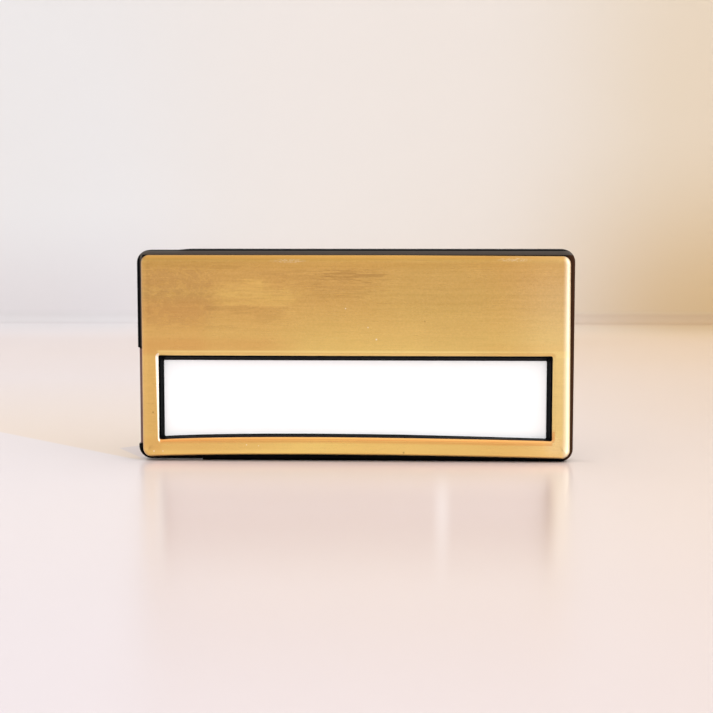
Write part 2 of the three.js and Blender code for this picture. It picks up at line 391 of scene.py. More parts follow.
def roll_ring(inset):
    """One outline of the cover's outer roll, and its outward directions. It is tighter along the bottom, and
    its edges are moved as the sheet isn't quite true."""
    points, normals = outline(grow(cover_box, -inset))
    points = points + normals * (ROLL_TAPER * inset * np.clip(-normals[:, 1], 0, 1))[:, None]
    up = np.clip((points[:, 1] - window_box["top"]) / (cover_box["top"] - window_box["top"]), 0, 1)
    down = np.clip((cover_box["top"] - points[:, 1]) / (cover_box["top"] - cover_box["bottom"]), 0, 1)
    points[:, 1] -= (COVER_DROP + COVER_TILT * right_share(points)) * up
    low = np.clip((window_box["bottom"] - points[:, 1]) / BOTTOM_BAR, 0, 1)
    points[:, 1] -= (COVER_SAG + COVER_SAG_RIGHT * right_share(points)) * low
    points[:, 0] += COVER_FLARE * down * right_share(points) ** FLARE_POWER
    return points, normals


def build_cover():
    """The pressed sheet: rolled outside, brushed face, rolled window edge, and its inside."""
    front = cover_box["front"]
    inside = grow(cover_box, -SHEET)
    inner_roll = cover_roll - SHEET
    loops, maps = [], []

    def ring(box, y, side=1):
        points, normals = outline(box)
        loops.append(at_depth(points, y))
        maps.append((points + (y - front) * side * normals)[:, ::-1])

    for inset, fall in ((0, cover_roll), *bend(cover_roll, OUTER_ARCS)):
        points, normals = roll_ring(inset)
        loops.append(at_depth(points, front + fall))
        maps.append((points + fall * normals)[:, ::-1])
    outer_points = roll_ring(cover_roll)[0]
    inner_points = bevel_ring(WINDOW_ROLL)[0]
    for share in FACE_SHARES:
        points = outer_points + share * (inner_points - outer_points)
        loops.append(at_depth(points, front))
        maps.append(points[:, ::-1])
    for inset, fall in reversed(bend(WINDOW_ROLL, WINDOW_ARCS)):
        points, taper = bevel_ring(inset)
        loops.append(np.column_stack([points[:, 0], front + fall * taper, points[:, 1]]))
        maps.append(points[:, ::-1])
    ring(window_box, front + WINDOW_ROLL, -1)
    ring(grow(window_box, SHEET), front + WINDOW_ROLL, -1)
    ring(grow(window_box, SHEET), front + SHEET, -1)
    for inset, fall in reversed(rounding(INNER_STEPS)):
        ring(grow(inside, -inner_roll * inset), front + SHEET + inner_roll * fall)
    made = mesh_object("badge_cover", np.vstack(loops), bridged(loops, closed=True), np.vstack(maps))
    steady_normals(made)
    return made


def build_backing():
    """The moulded backing in one body: lip, core and rim, with the card slot and the pin's recess cut out."""
    core_front = cover_box["front"] + WINDOW_ROLL + SEAT_GAP
    core_box = grow(cover_box, -SHEET - FIT_GAP)
    core_roll = cover_roll - SHEET
    core_rise = cover_box["back"] - core_front
    lip_front = slot_front - LIP_THICKNESS
    step_box = {**grow(window_box, -LIP_STEP), "bottom": window_box["bottom"] + LIP_STEP_BOTTOM}
    back = backing_box["back"]
    loops = []

    def ring(box, y, cut_notch=False):
        points = outline(box)[0]
        loops.append(at_depth(notched(points) if cut_notch else points, y))

    def lip_ring(inset, y):
        points = outline(grow(lip_box, inset))[0]
        low = points[:, 1] < (lip_box["bottom"] + lip_box["top"]) / 2
        points[:, 1] -= LIP_SAG * right_share(points) * low
        loops.append(at_depth(points, y))

    lip_ring(0, (slot_front + slot_back) / 2)
    for inset, fall in rounding(SOFT_STEPS):
        lip_ring(SOFT_EDGE * inset, lip_front + SOFT_EDGE * fall)
    for inset, fall in rounding(SOFT_STEPS):
        ring(grow(step_box, SOFT_EDGE * inset), core_front + SOFT_EDGE * fall)
    for inset, fall in reversed(rounding(INNER_STEPS)):
        ring(grow(core_box, -core_roll * inset), core_front + core_rise * fall)
    ring(core_box, rim_y)
    ring(grow(backing_box, -FRONT_ROUND - SOFT_EDGE), rim_y)
    for inset, fall in reversed(rounding(FRONT_STEPS)):
        ring(grow(backing_box, -FRONT_ROUND * inset), rim_y + FRONT_ROUND * fall, True)
    for inset, fall in rounding(BACK_STEPS):
        ring(grow(backing_box, -BACK_ROUND * inset), back - BACK_ROUND * fall, True)
    ring(grow(backing_box, -BACK_ROUND - SOFT_EDGE), back)
    made = capped("badge_backing", loops)

    slot_right = card_box["right"] + CARD_CLEARANCE
    slot_left = backing_box["left"] - OVERRUN
    join(made, block("slot", slot_left, slot_right, slot_front, slot_back, slot_low, slot_high), "DIFFERENCE")
    half = STRIP_HALF + FIT_GAP
    hole = stadium(pin_box["left"] - FIT_GAP, pin_box["right"] + FIT_GAP, pin_z - half, pin_z + half, half)
    recess = [at_depth(hole, y) for y in (back - STRIP_RECESS, back + OVERRUN)]
    join(made, capped("recess", recess), "DIFFERENCE")
    steady_normals(made)
    return made


def build_card():
    return soft_plate("badge_card", card_box["left"], card_box["right"], card_box["bottom"], card_box["top"],
                      CARD_CORNER, card_box["front"], card_box["back"], SOFT_EDGE)


def build_pin_bar():
    """The fastening: a strip with round ends, two upright ears and the wire with its tip, as one piece."""
    strip_top = pin_box["front"] + STRIP_THICKNESS
    strip_middle = strip_top - STRIP_THICKNESS / 2
    made = soft_plate("badge_pin_bar", pin_box["left"], pin_box["right"], pin_z - STRIP_HALF,
                      pin_z + STRIP_HALF, STRIP_HALF, pin_box["front"], strip_top, PIN_EDGE)

    ear_x = pin_box["right"] - EAR_INSET
    radius = EAR_WIDTH / 2
    arc_y = pin_box["back"] - radius
    angles = np.linspace(0, math.pi, 2 * CORNER_STEPS + 1)
    for x in (-ear_x, ear_x):
        loops = []
        for d, place in soft_sides(x - EAR_THICKNESS / 2, x + EAR_THICKNESS / 2, PIN_EDGE):
            r = radius - d
            y = np.concatenate([[strip_middle], arc_y + r * np.sin(angles), [strip_middle]])
            z = pin_z + np.concatenate([[r], r * np.cos(angles), [-r]])
            loops.append(np.column_stack([np.full(len(y), place), y, z]))
        join(made, capped("ear", loops))

    pin_y = pin_box["back"] - EAR_TOP_WALL - PIN_DIAMETER / 2
    half, tip = PIN_DIAMETER / 2, PIN_TIP_DIAMETER / 2
    tip_x = ear_x + PIN_TIP_LENGTH
    rings = [(-ear_x - EAR_THICKNESS / 4, half), (ear_x, half), (ear_x + EAR_THICKNESS / 2, half * PIN_NECK)]
    rings += [(tip_x - tip * away, tip * size) for away, size in PIN_TIP_RINGS]
    turn = np.linspace(0, 2 * math.pi, 2 * CORNER_STEPS, endpoint=False)
    wire = [
        np.column_stack([np.full(len(turn), x), pin_y + r * np.cos(turn), pin_z + r * np.sin(turn)])
        for x, r in rings
    ]
    join(made, capped("wire", wire))
    steady_normals(made)
    return made


# Where a noise's usual values lie, and the places of a colour mix's sockets.
NOISE_SPAN = (0.3, 0.7)
MIX_SHARE, MIX_FIRST, MIX_SECOND, MIX_RESULT = 0, 6, 7, 2


class Shade:
    """Short ways to add nodes to a material's or world's tree."""

    def __init__(self, tree):
        self.tree = tree
        tree.nodes.clear()

    def add(self, kind, inputs=None, **settings):
        node = self.tree.nodes.new(kind)
        for name, value in settings.items():
            setattr(node, name, value)
        for key, value in (inputs or {}).items():
            if isinstance(value, bpy.types.NodeSocket):
                self.tree.links.new(value, node.inputs[key])
            else:
                node.inputs[key].default_value = value
        return node

    def output(self, shader):
        self.add("ShaderNodeOutputMaterial", {"Surface": shader.outputs[0]})

    def calc(self, operation, *values, clamp=False):
        node = self.add("ShaderNodeMath", dict(enumerate(values)), operation=operation, use_clamp=clamp)
        return node.outputs[0]

    def plus(self, *values):
        total = values[0]
        for value in values[1:]:
            total = self.calc("ADD", total, value)
        return total

    def times(self, *values):
        product = values[0]
        for value in values[1:]:
            product = self.calc("MULTIPLY", product, value)
        return product

    def stretch(self, vector, scale, location=(0, 0, 0)):
        node = self.add("ShaderNodeMapping", {"Vector": vector, "Scale": scale, "Location": location})
        return node.outputs[0]

    def noise(self, vector, scale, detail, roughness, location=(0, 0, 0), distortion=0.0):
        inputs = {"Scale": 1.0, "Detail": detail, "Roughness": roughness, "Distortion": distortion}
        return self.add(
            "ShaderNodeTexNoise", {"Vector": self.stretch(vector, scale, location), **inputs}
        ).outputs[0]

    def span(self, value, low, high, to_low=0.0, to_high=1.0, smooth=True):
        """The value's way from low to high, eased and kept between the two results."""
        node = self.add(
            "ShaderNodeMapRange",
            {"Value": value, "From Min": low, "From Max": high, "To Min": to_low, "To Max": to_high},
            interpolation_type="SMOOTHSTEP" if smooth else "LINEAR",
        )
        return node.outputs["Result"]

    def spread(self, noise, to_low, to_high, smooth=False):
        """A noise's usual values, spread from one result to the other."""
        return self.span(noise, *NOISE_SPAN, to_low, to_high, smooth)

    def mix(self, share, first, second):
        """The first colour, turned into the second by a share. Each is a socket or a plain colour."""
        first, second = [value + (1,) if isinstance(value, tuple) else value for value in (first, second)]
        inputs = {MIX_SHARE: share, MIX_FIRST: first, MIX_SECOND: second}
        return self.add("ShaderNodeMix", inputs, data_type="RGBA").outputs[MIX_RESULT]

    def parts(self, vector):
        """A vector's values by axis."""
        node = self.add("ShaderNodeSeparateXYZ", {0: vector})
        return dict(zip("xyz", node.outputs))

    def bump(self, height, distance, strength):
        inputs = {"Height": height, "Distance": distance, "Strength": strength}
        return self.add("ShaderNodeBump", inputs).outputs[0]

    def patch(self, axes, place, size, edge=0.5, ragged=0.0, power=2.0):
        """1 inside an ellipse seen from the front and 0 outside it, with a soft edge. A power over 2 makes it
        squarer."""
        powers = []
        for axis, middle, half in zip("xz", place, size):
            away = self.calc("DIVIDE", self.calc("SUBTRACT", axes[axis], middle), half)
            powers.append(self.calc("POWER", self.calc("ABSOLUTE", away), power))
        away = self.calc("POWER", self.plus(*powers), 1 / power)
        return self.span(self.plus(away, ragged), 1 + edge, 1 - edge)

    def area(self, axes, share, *fades):
        """A share that fades in along each axis named, as span does, or towards a patch for "near"."""
        kept = [
            self.patch(axes, *numbers) if axis == "near" else self.span(axes[axis], *numbers)
            for axis, *numbers in fades
        ]
        return self.times(*kept, share)

    def paint(self, base, axes, layers):
        """The base colour with each layer's colour laid over it in that layer's areas."""
        for colour, *areas in layers:
            share = self.plus(*(self.area(axes, *row) for row in areas))
            base = self.mix(share, base, colour)
        return base


def material(name, colour):
    """An empty material with its tree, and object coordinates in millimetres."""
    made = bpy.data.materials.new(name)
    made.diffuse_color = (*colour, 1)
    made.use_nodes = True
    shade = Shade(made.node_tree)
    coordinates = shade.add("ShaderNodeTexCoord").outputs["Object"]
    return made, shade, shade.stretch(coordinates, (1 / MM,) * 3)


# Linear colours
GOLD = (0.62, 0.345, 0.073)
GOLD_DARK = (0.51, 0.268, 0.04)
GOLD_LIGHT = (0.73, 0.422, 0.106)
GOLD_BROWN = (0.30, 0.14, 0.014)
GOLD_STAIN = (0.34, 0.15, 0.04)
GOLD_COOL = (0.60, 0.35, 0.11)
GOLD_TOP_PAINTED_SHADE = (0.60, 0.31, 0.03)
GOLD_PAINTED_REFLECTION = (1.0, 0.78, 0.28)
GOLD_CLEAN = (0.98, 0.66, 0.16)
GOLD_LOW_PAINTED_LIGHT = (1.0, 0.76, 0.22)
GOLD_RED = (0.58, 0.16, 0.02)
GOLD_PAINTED_AMBER = (0.70, 0.24, 0.03)
GOLD_PAINTED_SHEEN = (0.95, 0.85, 0.55)
GOLD_ROLL_PAINTED_SHADE = (0.23, 0.12, 0.09)
GOLD_BRIGHT = (0.98, 0.55, 0.07)
GOLD_YELLOW = (0.64, 0.57, 0.13)
GOLD_PAINTED_HIGHLIGHT = (1.0, 0.95, 0.82)
GOLD_NICK = (1.0, 0.92, 0.70)
BLACK = (0.001, 0.001, 0.0015)
BLACK_PAINTED_REFLECTION = (0.045, 0.018, 0.008)
DUST = (0.06, 0.055, 0.05)
BLACK_PAINTED_SHEEN = (0.085, 0.072, 0.062)
NOTCH_STRIP_GREY = (0.20, 0.13, 0.12)
CARD = (0.90, 0.90, 0.90)
CARD_SHADE = (0.87, 0.87, 0.865)
CARD_PAINTED_GLOW = (1, 1, 1, 1)
NICKEL = (0.62, 0.61, 0.59)
NICKEL_WARM = (0.56, 0.54, 0.50)
TABLE_LEFT = (0.65, 0.585, 0.589)
TABLE_FAR_LEFT = (0.646, 0.574, 0.562)
TABLE_RIGHT = (0.679, 0.562, 0.495)
TABLE_FAR_RIGHT = (0.637, 0.46, 0.282)
TABLE_NEAR = (0.40, 0.355, 0.52)
TABLE_PAINTED_WARM_REFLECTION = (1.0, 0.72, 0.64)
TABLE_PAINTED_WARM_LIGHT = (0.662, 0.522, 0.395)
TABLE_SHADOW = (0.54, 0.45, 0.415)
TABLE_PAINTED_REFLECTION = (0.42, 0.27, 0.22)
WALL_MIDDLE = (0.80, 0.75, 0.715)
FOOT_PAINTED_SHADE = (0.1, 0.08, 0.06)
FOOT_PAINTED_WARM_SHADE = (0.25, 0.03, 0.0)
WALL_LEFT = (0.769, 0.762, 0.766)
WALL_LOW_LEFT = (0.70, 0.664, 0.675)
WALL_RIGHT = (0.727, 0.616, 0.471)
WALL_LOW_RIGHT = (0.62, 0.435, 0.205)
SKY = (0.985, 1.0, 1.02, 1)

# Noises on the gold: the coordinates they lie in, then their scale, detail, roughness, offset and distortion.
# The brushing runs along the grain's second coordinate.
GOLD_NOISES = {
    "long_streaks": ("grain", (1.6, 0.045, 1), 3, 0.6),
    "short_streaks": ("grain", (2.6, 0.16, 1), 3, 0.6, (3, 5, 0)),
    "hairlines": ("grain", (14, 0.11, 1), 2, 0.7, (1, 2, 0)),
    "speckle": ("place", (3, 3, 3), 2, 0.6),
    "mottle": ("place", (0.16, 0.16, 0.34), 3, 0.65, (0, 0, 0), 0.4),
    "tint": ("place", (4, 4, 4), 1, 0.5, (2, 0, 0)),
    "marks": ("grain", (2.8, 0.17, 1), 3, 0.65, (7, 1, 0)),
    "edges": ("grain", (2.8, 0.4, 1), 4, 0.65, (4, 4, 0)),
    "blotches": ("place", (0.6, 0.6, 0.95), 5, 0.75, (5, 0, 3), 0.8),
    "nicks": ("place", (2.6, 2.6, 6), 3, 0.75),
}
GOLD_GRAIN = {"long_streaks": 0.16, "short_streaks": 0.10, "hairlines": 0.15, "speckle": 0.20}

# Marks on the gold face: place, half sizes, how brown (or clean, where negative), and their texture, which
# sets how wide their soft edges are.
MARK_EDGES = {"streaks": 0.2, "plain": 0.14}
MARK_POWER = 4.0
EDGE_RAGGED = 0.4
MARKS = (
    (-30.4, 28.8, 6.6, 5.9, 0.05, "plain"),
    (-36.3, 29.0, 0.7, 5.6, 0.14, "plain"),
    (-17.2, 28.9, 6.4, 2.2, -0.16, "streaks"),
    (-17.2, 28.9, 7.0, 2.9, -0.10, "plain"),
    (-17.6, 31.4, 1.6, 0.5, -0.14, "plain"),
    (-21.6, 26.8, 4.4, 0.45, 0.30, "plain"),
    (-14.6, 26.9, 3.4, 0.3, 0.20, "plain"),
    (-19.5, 26.1, 2.6, 0.35, 0.26, "streaks"),
    (-14.9, 25.9, 2.5, 0.9, 0.20, "plain"),
    (-15.7, 24.6, 1.3, 0.4, 0.15, "plain"),
    (-23.2, 23.5, 2.8, 0.35, 0.17, "plain"),
    (-22.2, 33.9, 2.5, 0.32, 0.2, "plain"),
    (-14.0, 30.3, 1.7, 0.4, 0.16, "plain"),
    (-12.6, 33.0, 6.0, 0.5, 0.18, "streaks"),
    (-0.5, 32.5, 5.7, 1.0, 0.38, "streaks"),
    (0.3, 32.6, 4.8, 0.7, 0.13, "plain"),
    (-1.5, 30.0, 6.0, 1.3, 0.20, "streaks"),
    (-9.5, 31.6, 5.0, 1.2, 0.14, "streaks"),
)
STAIN_PLACE = (-30.7, 28.9)
STAIN_SIZE = (6.0, 5.4)
STAIN_EDGE = 0.08
STAIN_SHARE = 0.22

# Specks on the gold face: place, and half size.
PALE_SPECKS = (
    (-1.6, 26.8, 0.1), (3.74, 21.45, 0.14), (2.29, 23.52, 0.1), (-35.13, 1.78, 0.12),
    (-33.55, 1.79, 0.1), (-18.9, 2.95, 0.1), (-16.8, 2.8, 0.08),
)
DARK_SPECKS = ((8.5, 1.7, 0.16), (-35.2, 8.6, 0.14), (12.1, 24.6, 0.12))
SPECK_SHARE = 0.6

# Height of the window's lower edge: at its peak, and its fall for the square of the distance from there.
LOW_EDGE_PEAK = 4.3
LOW_EDGE_FALL = 0.00035

# Colours laid over the gold, one after the other, each in its areas. An area is the most that the colour
# takes there, and then its limits: an axis with the two places between which the area fades in, and where
# needed how much is kept at each of them. "near" is a patch, with its middle and half sizes. "depth" is how
# far behind the face the metal lies, and "below_edge" how far under the window's lower edge.
ABOVE_WINDOW = ("z", 18.2, 19.2)
BELOW_WINDOW = ("z", 5.0, 3.6)
BENT = ("depth", 0.01, 0.06)
GOLD_LAYERS = (
    # Painted light: the lower the metal, the paler and brighter it is painted.
    (
        GOLD_LOW_PAINTED_LIGHT,
        (0.43, ("z", 28.0, 18.8, 0.0, 1.0, False)),
        (0.2, ("z", 6.0, 3.2)),
        (0.25, ("z", 2.4, 1.6), ("x", -6.0, -16.0)),
    ),
    # The lower left is redder, and so is the rolled upper edge.
    (
        GOLD_RED,
        (0.13, ("x", -6.0, -18.0), ("z", 30.0, 26.0)),
        (0.11, ("x", -24.0, -28.0), ("z", 30.0, 26.0), ABOVE_WINDOW),
        (0.17, ("x", -6.0, -18.0), ("z", 22.5, 20.5), ABOVE_WINDOW),
        (0.15, ("x", -12.0, -30.0), BELOW_WINDOW),
        (0.12, ("x", -33.0, -34.5), ("z", 19.2, 18.2)),
        (1.0, ("x", -6.0, -14.0, 0.06, 0.09), ("z", 29.0, 31.0)),
        (0.14, ("z", 35.1, 35.6)),
    ),
    # Painted shade: the face's top band and the rolled upper edge are painted deeper.
    (GOLD_TOP_PAINTED_SHADE, (0.25, ("z", 32.5, 34.6)), (0.2, ("z", 35.0, 35.6))),
    # The right is dimmer, and so are the face's top left and the rolled upper edge, whose dimming is painted
    # shade.
    (
        GOLD_BROWN,
        (1.0, ("x", 8.0, 16.0), ("x", 33.0, 29.0), ("z", 25.0, 21.0, 0.03, 0.08)),
        (1.0, ("z", 34.9, 35.5), ("x", 6.0, 20.0, 0.38, 0.52)),
        (0.12, ("z", 33.4, 34.4), ("x", -8.0, -30.0)),
    ),
    # Painted shade on the rolled upper edge, strongest towards its left.
    (GOLD_ROLL_PAINTED_SHADE, (1.0, ("z", 35.1, 35.6), ("x", 20.0, 0.0, 0.09, 0.15))),
    # Painted sheen: the right end is pale and hazy, most of all in its lower corner, where a reflection is
    # painted.
    (
        GOLD_PAINTED_SHEEN,
        (0.13, ("x", 24.0, 36.0), ("z", 34.0, 29.0, 0.5, 1.0)),
        (0.18, ("near", (34.8, 2.9), (1.7, 1.6), 0.6)),
    ),
    (GOLD_BRIGHT, (0.05, ("x", 16.0, -2.0))),
    (GOLD_YELLOW, (0.1, ("near", (14.5, 29.6), (12.0, 5.2)))),
    # Painted amber light in the lower bar, and above the window's right end.
    (
        GOLD_PAINTED_AMBER,
        (0.11, BELOW_WINDOW, ("x", -8.0, 4.0)),
        (0.1, BELOW_WINDOW, ("x", 16.0, 28.0)),
        (0.09, ABOVE_WINDOW, ("z", 21.6, 19.8), ("x", 16.0, 26.0)),
    ),
    # Painted highlights on the edges bent to the light: the window's left edge, and the right roll.
    (
        GOLD_PAINTED_HIGHLIGHT,
        (0.9, BENT, ("x", -34.0, -34.15), ("x", -35.2, -35.0), ("z", 2.8, 3.1), ("z", 19.3, 19.0)),
        (0.45, ("x", 35.7, 36.8)),
    ),
    # Painted light and shade at the window: its lower bevel is painted a deep orange for the light it
    # catches, its upper edge a pale painted reflection, and a band of painted shade lies below the lower one.
    (
        GOLD_PAINTED_AMBER,
        (0.6, BENT, ("z", 6.0, 5.0), ("z", 2.7, 2.9), ("x", 34.9, 34.6), ("x", -34.3, -34.0)),
    ),
    (GOLD_PAINTED_REFLECTION, (1.0, ("z", 19.6, 19.3), ("z", 18.2, 18.4), ("x", -34.6, -34.0), ("x", 30.0, 16.0, 0.2, 0.5))),
    (
        GOLD_PAINTED_AMBER,
        (0.5, ("below_edge", 0.2, 0.4), ("below_edge", 1.2, 0.6), ("z", 2.9, 3.1), ("z", 5.5, 4.8),
         ("x", -34.2, -33.9), ("x", 34.4, 34.1)),
    ),
    # Nicks in the rolled upper edge, with pale glints painted on them.
    (
        GOLD_NICK,
        (0.24, ("near", (27.4, 35.2), (2.4, 0.3)), ("nicks", 0.45, 0.6)),
        (0.24, ("near", (-11.4, 35.0), (2.6, 0.3)), ("nicks", 0.45, 0.6)),
    ),
)

# Colours laid over the black in the same way: dust, a painted warm reflection on the right side of the rim, a
# painted grey sheen on its top and upper left, and a lighter grey strip in the notch.
RIM_FRONT = ("y", rim_y + 0.6, rim_y + 0.2)
BLACK_LAYERS = (
    (DUST, (1.0, ("grit", 0.62, 0.74), ("smudge", 0.45, 0.7))),
    (BLACK_PAINTED_REFLECTION, (1.0, ("x", 36.2, 37.0), RIM_FRONT)),
    (BLACK_PAINTED_SHEEN, (1.0, ("z", 35.9, 36.1), ("z", 36.8, 36.6), RIM_FRONT)),
    (BLACK_PAINTED_SHEEN, (1.0, ("x", -37.5, -37.3), ("x", -36.9, -37.05), ("z", slot_high, slot_high + 0.5), RIM_FRONT)),
    (NOTCH_STRIP_GREY, (1.0, ("x", -36.95, -37.15), ("z", slot_low, slot_low + 0.3), ("z", slot_high, slot_high - 0.3))),
)


def gold_metal():
    made, shade, place = material("brushed_gold", GOLD)
    axes = shade.parts(place)
    coordinates = {"place": place, "grain": shade.add("ShaderNodeUVMap", uv_map="grain").outputs[0]}
    for name, (source, *kind) in GOLD_NOISES.items():
        axes[name] = shade.noise(coordinates[source], *kind)
    ragged = shade.spread(axes["edges"], -EDGE_RAGGED, EDGE_RAGGED)
    streaks = shade.span(axes["marks"], 0.44, 0.52)
    tone = shade.span(axes["z"], 33.4, 34.4, 0.0, 0.06)
    for place_x, place_z, half_x, half_z, strength, kind in MARKS:
        spot = shade.patch(axes, (place_x, place_z), (half_x, half_z), MARK_EDGES[kind], ragged, MARK_POWER)
        tone = shade.plus(tone, shade.times(spot, streaks if kind == "streaks" else 1.0, strength))
    light = shade.plus(*(shade.spread(axes[name], -most, most) for name, most in GOLD_GRAIN.items()))
    base = shade.mix(shade.calc("ADD", light, 0.5, clamp=True), GOLD_DARK, GOLD_LIGHT)
    base = shade.mix(shade.span(axes["tint"], 0.35, 0.65, 0.0, 0.3, False), base, GOLD_COOL)
    stain = shade.patch(axes, STAIN_PLACE, STAIN_SIZE, STAIN_EDGE, shade.times(ragged, 0.5), MARK_POWER)
    stain = shade.times(stain, shade.span(axes["blotches"], 0.45, 0.49), STAIN_SHARE)
    base = shade.mix(stain, base, GOLD_STAIN)
    for colour, most in ((GOLD_BROWN, 1.0), (GOLD_CLEAN, -1.0)):
        base = shade.mix(shade.span(tone, 0.0, most, 0.0, 1.0, False), base, colour)
    axes["depth"] = shade.calc("SUBTRACT", axes["y"], cover_box["front"])
    off_peak = shade.calc("SUBTRACT", axes["x"], ARCH_PEAK_X)
    fall = shade.times(off_peak, off_peak, LOW_EDGE_FALL)
    axes["below_edge"] = shade.calc("SUBTRACT", LOW_EDGE_PEAK, shade.plus(fall, axes["z"]))
    base = shade.paint(base, axes, GOLD_LAYERS)
    for specks, colour in ((PALE_SPECKS, GOLD_NICK), (DARK_SPECKS, GOLD_BROWN)):
        spots = [shade.patch(axes, (place_x, place_z), (half, half)) for place_x, place_z, half in specks]
        base = shade.mix(shade.times(shade.plus(*spots), SPECK_SHARE), base, colour)
    rough = shade.plus(
        shade.spread(axes["hairlines"], 0.26, 0.36, smooth=True),
        shade.spread(axes["mottle"], -0.03, 0.04),
        shade.span(axes["x"], 35.4, 36.2, 0.0, 0.08),
    )
    height = shade.plus(shade.times(axes["hairlines"], 0.5), shade.times(axes["long_streaks"], 0.5))
    inputs = {
        "Base Color": base,
        "Metallic": 1.0,
        "Roughness": rough,
        "Anisotropic": 0.65,
        "Tangent": shade.add("ShaderNodeTangent", direction_type="UV_MAP", uv_map="grain").outputs[0],
        "Normal": shade.bump(height, 0.004 * MM, 0.6),
        "Coat Weight": shade.span(axes["z"], 35.0, 35.6, 1.0, 0.3),
        "Coat Roughness": 0.22,
    }
    shade.output(shade.add("ShaderNodeBsdfPrincipled", inputs))
    return made


def black_plastic():
    made, shade, place = material("moulded_black", BLACK)
    axes = shade.parts(place)
    axes["smudge"] = shade.noise(place, (0.35, 0.35, 0.35), 4, 0.6, distortion=0.5)
    axes["grit"] = shade.noise(place, (6, 6, 6), 3, 0.6)
    smears = shade.spread(axes["smudge"], 0.22, 0.36, smooth=True)
    inputs = {
        "Base Color": shade.paint(BLACK, axes, BLACK_LAYERS),
        "Roughness": shade.plus(smears, shade.times(axes["grit"], 0.06)),
        "Specular IOR Level": 0.03,
        "Normal": shade.bump(axes["grit"], 0.006 * MM, 0.5),
    }
    shade.output(shade.add("ShaderNodeBsdfPrincipled", inputs))
    return made


def white_card():
    made, shade, place = material("card_stock", CARD)
    fibre = shade.noise(place, (5, 5, 9), 4, 0.7, distortion=0.6)
    cloud = shade.noise(place, (0.3, 0.3, 0.3), 2, 0.5)
    inputs = {
        "Base Color": shade.mix(shade.times(fibre, cloud), CARD, CARD_SHADE),
        "Roughness": shade.spread(fibre, 0.6, 0.72, smooth=True),
        # The card glows a little: painted light that evens out its shading.
        "Emission Color": CARD_PAINTED_GLOW,
        "Emission Strength": 0.2,
        "Normal": shade.bump(fibre, 0.008 * MM, 0.4),
    }
    shade.output(shade.add("ShaderNodeBsdfPrincipled", inputs))
    return made


def nickelled_steel():
    made, shade, place = material("nickel", NICKEL)
    drawn = shade.noise(place, (0.3, 7, 7), 3, 0.6)
    cloud = shade.noise(place, (0.4, 0.4, 0.4), 3, 0.6)
    inputs = {
        "Base Color": shade.mix(cloud, NICKEL, NICKEL_WARM),
        "Metallic": 1.0,
        "Roughness": shade.plus(shade.spread(drawn, 0.16, 0.28, smooth=True), shade.times(cloud, 0.06)),
        "Normal": shade.bump(drawn, 0.004 * MM, 0.5),
    }
    shade.output(shade.add("ShaderNodeBsdfPrincipled", inputs))
    return made


for piece, node, slot, look in (
    (build_card(), "name_card", "white_card", white_card()),
    (build_cover(), "cover", "gold_metal", gold_metal()),
    (build_backing(), "backing", "black_plastic", black_plastic()),
    (build_pin_bar(), "pin_bar", "nickelled_steel", nickelled_steel()),
):
    piece.data.materials.clear()
    piece.data.materials.append(look)
    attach(piece, "root")
    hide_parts(node)


# Stage: a glossy pale table that turns up into a plain wall behind the badge, and more ground around it. Its
# places and sizes are metres.
GROUND_HALF = 2.5
GROUND_DROP = 0.0005
SHEET_HALF = 1.1
WALL_Y = 0.335
WALL_TOP = 0.6
COVE_RADIUS = 0.005
COVE_STEPS = 24

# Colours laid over the table in the same way, most of them painted light and shade. "slant" grows across the
# slanting line at which the painted warm light ends, and "right" and "front" measure from the two sides of a
# small wedge of painted shadow. "beside" is the place across the red patch, a painted reflection of the
# badge, which narrows away from the badge's front, and a thin streak in it is less red, as a painted
# reflection of a highlight. A warm glow just in front of the badge is a painted reflection too.
LIGHT_SIDE = (("x", -0.02, -0.036), ("y", -0.0045, -0.0005))
REFLECTION_PATCH = (
    ("beside", -0.044, -0.0415), ("beside", 0.0275, 0.025), ("y", -0.006, -0.042), ("y", -0.1, -0.05),
)
REFLECTION_STREAK = (("beside", 0.0045, 0.0066), ("beside", 0.0087, 0.0066))
TABLE_LAYERS = (
    (TABLE_NEAR, (0.1, ("y", -0.04, -0.14))),
    (TABLE_PAINTED_WARM_LIGHT, (1.0, *LIGHT_SIDE, ("slant", -0.0418, -0.0402), ("y", 0.13, 0.0, 0.1, 1.0, False))),
    (TABLE_SHADOW, (1.0, *LIGHT_SIDE, ("right", -0.0003, 0.0004), ("front", -0.0003, 0.0005))),
    (TABLE_PAINTED_REFLECTION, (0.54, *REFLECTION_PATCH), (-0.378, *REFLECTION_PATCH, *REFLECTION_STREAK)),
    (
        TABLE_PAINTED_WARM_REFLECTION,
        (0.4, ("y", -0.003, -0.005), ("y", -0.018, -0.008), ("x", -0.037, -0.034), ("x", 0.038, 0.035)),
    ),
)
PATCH_MIDDLE = 0.0087
PATCH_END = -0.27
PATCH_NARROWEST = 0.05
WEDGE_RIGHT = (0.881, 0.474, 0.0338)
WEDGE_FRONT = (0.707, -0.707, 0.0385)

# Colours laid over the wall, and painted shade over the foot, where the table and the wall darken and blend.
WALL_LAYERS = ((WALL_MIDDLE, (0.7, ("x", -0.13, -0.02), ("x", 0.115, 0.03))),)
LOW = ("z", 0.0056, 0.0024)
TO_THE_RIGHT = ("across", 0.0, 1.0, 0.0, 1.0, False)
FOOT_LAYERS = (
    (FOOT_PAINTED_SHADE, (0.09, LOW, ("y", 0.32, 0.331)), (0.075, LOW, ("y", 0.262, 0.312))),
    (
        FOOT_PAINTED_WARM_SHADE,
        (0.14, TO_THE_RIGHT, ("z", 0.0042, 0.0028), ("y", 0.316, 0.331)),
        (0.06, TO_THE_RIGHT, LOW, ("y", 0.27, 0.315)),
    ),
)


